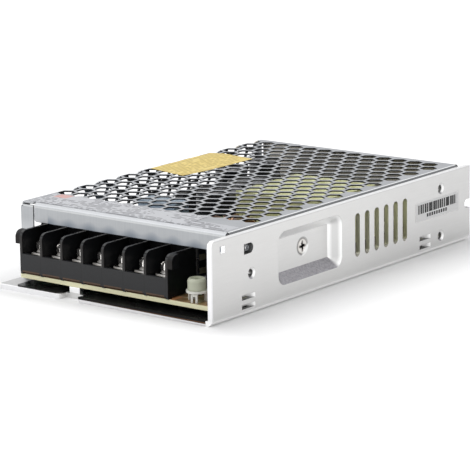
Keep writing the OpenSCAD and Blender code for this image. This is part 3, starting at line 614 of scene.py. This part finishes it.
def winding(name, colour, turns_per_mm):
    """Enamelled wire laid in close turns along X."""
    look = Look(name, colour, 0.28, 0.85, Coat_Weight=0.5, Coat_Roughness=0.1)
    painted_block_reflection = {"Vector": look.place(), "Scale": turns_per_mm / MM / math.tau,
             "Distortion": 0.6, "Detail": 1.0, "Detail Scale": 1.0}
    turns = output(look.tree, "ShaderNodeTexWave", painted_block_reflection, "Fac", wave_type="BANDS", bands_direction="X")
    look.feed("Base Color", mix(turns, scaled(colour, 0.35), colour))
    look.bump(turns, 0.8, 0.2 * MM)
    return look.mat


def wire():
    """The output choke's single enamelled wire."""
    look = Look("copper_wire", (0.62, 0.30, 0.13), 0.25, 0.85, Coat_Weight=0.5, Coat_Roughness=0.1)
    slow = noise(look.place(), 300.0, 2.0)
    look.feed("Base Color", mix(slow, (0.28, 0.14, 0.075), (0.42, 0.22, 0.12)))
    look.bump(slow, 0.3, 0.1 * MM)
    return look.mat


def tape():
    """Pale yellow film tape wound round the transformer, in overlapping laps."""
    look = Look("yellow_tape", (0.72, 0.75, 0.36), 0.3, Coat_Weight=0.15, Coat_Roughness=0.12)
    x, _, z = look.xyz()
    laps_per_metre, slant = 160.0, 0.08
    lap = maths("FRACT", (z + x * slant) * laps_per_metre)
    crease = noise(look.place((1, 1, 3)), 160.0, 4.0, 0.6, 0.5)
    look.tone = mix(crease, (0.97, 0.98, 0.42), (1.0, 1.0, 0.66))
    look.paint(span(lap, 0.0, 0.12, 0.3, 0.0), (0.50, 0.50, 0.20))
    look.feed("Base Color", look.tone)
    look.feed("Roughness", span(crease, 0.3, 0.7, 0.2, 0.4))
    look.bump(crease + lap, 0.4, 0.2 * MM)
    return look.mat


def can_sleeve(name, colour, stripe):
    """A capacitor's shrunk sleeve with a paler stripe of plain dashes, and a bare top darkened as painted
    shade.
    """
    look = Look(name, colour, 0.3, 0.0, Coat_Weight=0.3, Coat_Roughness=0.15)
    _, _, z = look.xyz()
    out_x, _, up = look.facing()
    bare = up > 0.6
    dashes_per_metre = 210.0
    dashes = (maths("FRACT", z * dashes_per_metre) < 0.45) * (out_x > 0.86)
    slow = noise(look.place(), 220.0, 3.0)
    look.tone = mix(slow, scaled(colour, 0.8), colour)
    look.paint(dashes, stripe)
    # painted shade: the bare aluminium top made dark
    look.paint(bare, (0.20, 0.20, 0.21))
    look.feed("Base Color", look.tone)
    look.feed("Metallic", bare)
    look.feed("Roughness", span(slow, 0.3, 0.7, 0.24, 0.36))
    look.bump(slow, 0.15, 0.1 * MM)
    return look.mat


# Labels

def rating_print():
    """Silver film label with rows of plain grey dashes and a pale red field."""
    look = Look("rating_label", (0.6, 0.61, 0.63), 0.38, 0.35)
    x, y, _ = look.xyz()
    low, _ = reach("rating_label")
    sheen = noise(look.place(), 90.0, 3.0)
    look.tone = mix(sheen, (0.50, 0.51, 0.54), (0.61, 0.62, 0.65))
    look.paint(label_dashes(look) * 0.8, (0.12, 0.12, 0.14))
    red = between(x, low.x + 3 * MM, low.x + 9 * MM) * (y > low.y + 9.8 * MM)
    look.paint(red * 0.75, (0.72, 0.33, 0.28))
    look.feed("Base Color", look.tone)
    look.feed("Roughness", span(sheen, 0.3, 0.7, 0.3, 0.45))
    look.bump(sheen, 0.15, 0.1 * MM)
    return look.mat


def yellow_print():
    """Matt yellow sticker with faint plain rows and slight creases."""
    look = Look("yellow_label", (0.80, 0.60, 0.18), 0.55)
    x, y, _ = look.xyz()
    ink = dash_rows(x, y, rows=560.0, lengths=300.0, shift=5.1, tall=0.5, share=0.45)
    crease = noise(look.place(), 110.0, 4.0, 0.6, 0.5)
    look.tone = mix(crease, (0.82, 0.62, 0.15), (0.94, 0.76, 0.29))
    look.paint(ink * 0.75, (0.50, 0.36, 0.08))
    look.feed("Base Color", look.tone)
    look.bump(crease, 0.5, 0.3 * MM)
    return look.mat


def bar_print():
    """Pale label with a row of plain upright bars of mixed widths over a row of dashes."""
    look = Look("white_label", (0.66, 0.66, 0.65), 0.5, 0.0, Specular_IOR_Level=0.2)
    _, y, z = look.xyz()
    low, high = reach("barcode_label")
    bars_per_metre, dashes_per_metre = 700.0, 640.0
    step = y * bars_per_metre
    number = vector(maths("FLOOR", step))
    pick = output(look.tree, "ShaderNodeTexWhiteNoise", {"Vector": number}, "Value")
    bars = maths("FRACT", step) < 0.55 + pick * 0.50
    bars = bars * between(y, low.y + 1.4 * MM, high.y - 1.5 * MM)
    bars = bars * between(z, high.z - 4.2 * MM, high.z - 0.8 * MM)
    dashes = maths("FRACT", y * dashes_per_metre) < 0.68
    dashes = dashes * between(y, low.y + 7.3 * MM, high.y - 7.6 * MM)
    dashes = dashes * between(z, low.z + 1.0 * MM, low.z + 2.3 * MM)
    slow = noise(look.place(), 120.0, 2.0)
    look.tone = mix(slow, (0.94, 0.94, 0.935), (0.99, 0.99, 0.985))
    look.paint(maths("MAXIMUM", bars, dashes) * 0.98, (0.02, 0.02, 0.022))
    look.feed("Base Color", look.tone)
    look.bump(slow, 0.1, 0.1 * MM)
    return look.mat


# What each node is made of

materials = {
    "chassis": aluminium(),
    "cover": galvanised(),
    "insulating_film": black_film(),
    "circuit_board": board(),
    "terminal_block": block_plastic(),
    "terminal_contacts": nickel("contact_nickel", (0.66, 0.62, 0.55), 0.22),
    "trimmer_base": moulded("white_plastic", (0.78, 0.78, 0.72), 0.35),
    "trimmer_knob": moulded("knob_plastic", (0.51, 0.53, 0.41), 0.4),
    "status_led": moulded("green_lens", (0.35, 0.62, 0.30), 0.15, coat=0.6),
    "transformer_core": moulded("ferrite", (0.06, 0.06, 0.065), 0.5, 900.0, 0.5),
    "transformer_bobbin": moulded("bobbin_plastic", (0.04, 0.042, 0.045), 0.4),
    "transformer_winding": winding("transformer_copper", (0.60, 0.30, 0.13), 2.0),
    "transformer_wrap": tape(),
    "line_choke_core": moulded("choke_ferrite", (0.07, 0.07, 0.075), 0.5, 900.0, 0.5),
    "line_choke_coils": winding("choke_copper", (0.26, 0.14, 0.08), 1.3),
    "output_choke_core": moulded("green_core", (0.16, 0.27, 0.12), 0.4, 700.0, 0.4),
    "output_choke_wire": wire(),
    "fuse": moulded("fuse_ceramic", (0.70, 0.66, 0.56), 0.25, coat=0.5),
    "inrush_limiter": moulded("dark_coating", (0.05, 0.08, 0.055), 0.45, 900.0, 0.5),
    "varistor": moulded("blue_coating", (0.04, 0.13, 0.40), 0.35, 700.0, 0.4, coat=0.3),
    "x_capacitor": moulded("blue_box", (0.42, 0.54, 0.66), 0.35, coat=0.3),
    "y_capacitors": moulded("blue_coating_small", (0.05, 0.17, 0.42), 0.35, 700.0, 0.4, coat=0.3),
    "bridge_rectifier": moulded("epoxy_black", (0.03, 0.03, 0.032), 0.5),
    "bulk_capacitors": can_sleeve("bulk_sleeve", (0.014, 0.015, 0.018), (0.20, 0.20, 0.22)),
    "output_capacitors": can_sleeve("output_sleeve", (0.012, 0.016, 0.028), (0.3, 0.28, 0.2)),
    "small_capacitors": can_sleeve("small_sleeve", (0.014, 0.015, 0.018), (0.2, 0.2, 0.22)),
    "output_rectifier": moulded("package_black", (0.03, 0.03, 0.033), 0.45),
    "power_transistor": moulded("package_black_b", (0.032, 0.032, 0.035), 0.45),
    "insulating_pad": moulded("grey_pad", (0.36, 0.42, 0.46), 0.6, 1200.0, 0.4),
    "clamp_bar": plain_steel(),
    "control_chip": moulded("chip_black", (0.03, 0.03, 0.033), 0.5),
    "optocouplers": moulded("opto_white", (0.72, 0.71, 0.66), 0.4),
    "power_resistors": moulded("resistor_blue", (0.30, 0.46, 0.50), 0.35, coat=0.4),
    "clamp_screw": flush_head(),
    "cover_screws": nickel("cover_screw_nickel", (0.66, 0.66, 0.66), 0.24),
    "board_screws": nickel("board_screw_nickel", (0.66, 0.66, 0.66), 0.24),
    "rating_label": rating_print(),
    "yellow_sticker": yellow_print(),
    "barcode_label": bar_print(),
}
# front sets the painted highlight on the faces towards -Y
washer_nickel = nickel("washer_nickel", (0.60, 0.55, 0.50), 0.16, front=1.0)
screw_nickel = nickel("terminal_screw_nickel", (0.97, 0.94, 0.90), 0.07, front=0.12)
for way in range(1, WAYS + 1):
    materials[f"clamp_washer_{way}"] = washer_nickel
    materials[f"terminal_screw_{way}"] = screw_nickel
for name, obj in nodes.items():
    obj.data.materials.clear()
    obj.data.materials.append(materials[name])


# Floor, world, lamp and camera

def shown_rays(tree):
    """1 for camera, glossy and transmission rays, which see the white background."""
    rays = ("Is Camera Ray", "Is Glossy Ray", "Is Transmission Ray")
    straight, glossy, through = (output(tree, "ShaderNodeLightPath", {}, ray) for ray in rays)
    return maths("ADD", straight + glossy, through, clamp=True)


def floor():
    """A white floor that keeps the case's shadow: its own glow is weak near the case."""
    half = 6.0
    corners = [(-half, -half, 0), (half, -half, 0), (half, half, 0), (-half, half, 0)]
    mesh = bpy.data.meshes.new("floor")
    mesh.from_pydata(corners, [], [(0, 1, 2, 3)])
    obj = bpy.data.objects.new("floor", mesh)
    bpy.context.collection.objects.link(obj)
    obj.location.z = -0.02 * MM
    look = Look("floor_white", grey(0.95), 0.9, Specular_IOR_Level=0.0)
    x, y, _ = look.xyz()
    over_x = maths("MAXIMUM", abs(x) - case_high.x, 0.0)
    over_y = maths("MAXIMUM", abs(y) - case_high.y, 0.0)
    away = length(over_x, over_y)
    near = span(away, 2 * MM, 30 * MM, 0.01, 0.28)
    far = span(away, 50 * MM, 400 * MM, 0.0, 0.5)
    ahead = span(y, -80 * MM, -92 * MM, 0.0, 0.17)
    mirrored = output(look.tree, "ShaderNodeLightPath", {}, "Is Glossy Ray")
    strength = shown_rays(look.tree) * (near + far + ahead) + mirrored * 0.07
    glow = output(look.tree, "ShaderNodeEmission", {"Color": grey(1), "Strength": strength})
    lit = Value(look.shader.outputs[0])
    both = output(look.tree, "ShaderNodeAddShader", {0: lit, 1: glow})
    join(look.tree.nodes["Material Output"].inputs["Surface"], both)
    mesh.materials.append(look.mat)


def world():
    """White behind the object and in its reflections; a plain even level as light."""
    studio = bpy.data.worlds.new("studio")
    bpy.context.scene.world = studio
    studio.use_nodes = True
    background = studio.node_tree.nodes["Background"]
    level = mix(shown_rays(studio.node_tree), (0.32, 0.32, 0.325), grey(1))
    join(background.inputs["Color"], level)
    background.inputs["Strength"].default_value = 1.0


def lamp(spot, side, power):
    """A square lamp, in metres and watts, that shines at the origin."""
    data = bpy.data.lights.new("top", "AREA")
    data.size = side
    data.energy = power
    obj = bpy.data.objects.new("top", data)
    bpy.context.collection.objects.link(obj)
    obj.location = spot
    obj.rotation_mode = "QUATERNION"
    obj.rotation_quaternion = (-Vector(spot)).to_track_quat("-Z", "Y")


def camera():
    """The photograph's view, solved from the case's own corners, holes and terminals."""
    turn, rise, roll = (math.radians(angle) for angle in (37.933, 12.806, -0.858))
    target = Vector((-3.203, 0, 10.283)) * MM
    distance = 947.88 * MM
    back = Vector((math.sin(turn) * math.cos(rise), -math.cos(turn) * math.cos(rise), math.sin(rise)))
    right = (-back).cross(Vector((0, 0, 1))).normalized()
    up = right.cross(-back)
    side = right * math.cos(roll) + up * math.sin(roll)
    top = up * math.cos(roll) - right * math.sin(roll)
    data = bpy.data.cameras.new("camera")
    data.lens, data.sensor_width = 196.2, 36.0
    data.clip_start, data.clip_end = 0.01, 50.0
    obj = bpy.data.objects.new("camera", data)
    bpy.context.collection.objects.link(obj)
    pose = Matrix((side, top, back)).transposed().to_4x4()
    pose.translation = target + back * distance
    obj.matrix_world = pose
    bpy.context.scene.camera = obj


floor()
world()
lamp((-0.9, -0.8, 2.4), 5.6, 105.0)
camera()
bpy.context.scene.view_settings.view_transform = "Standard"
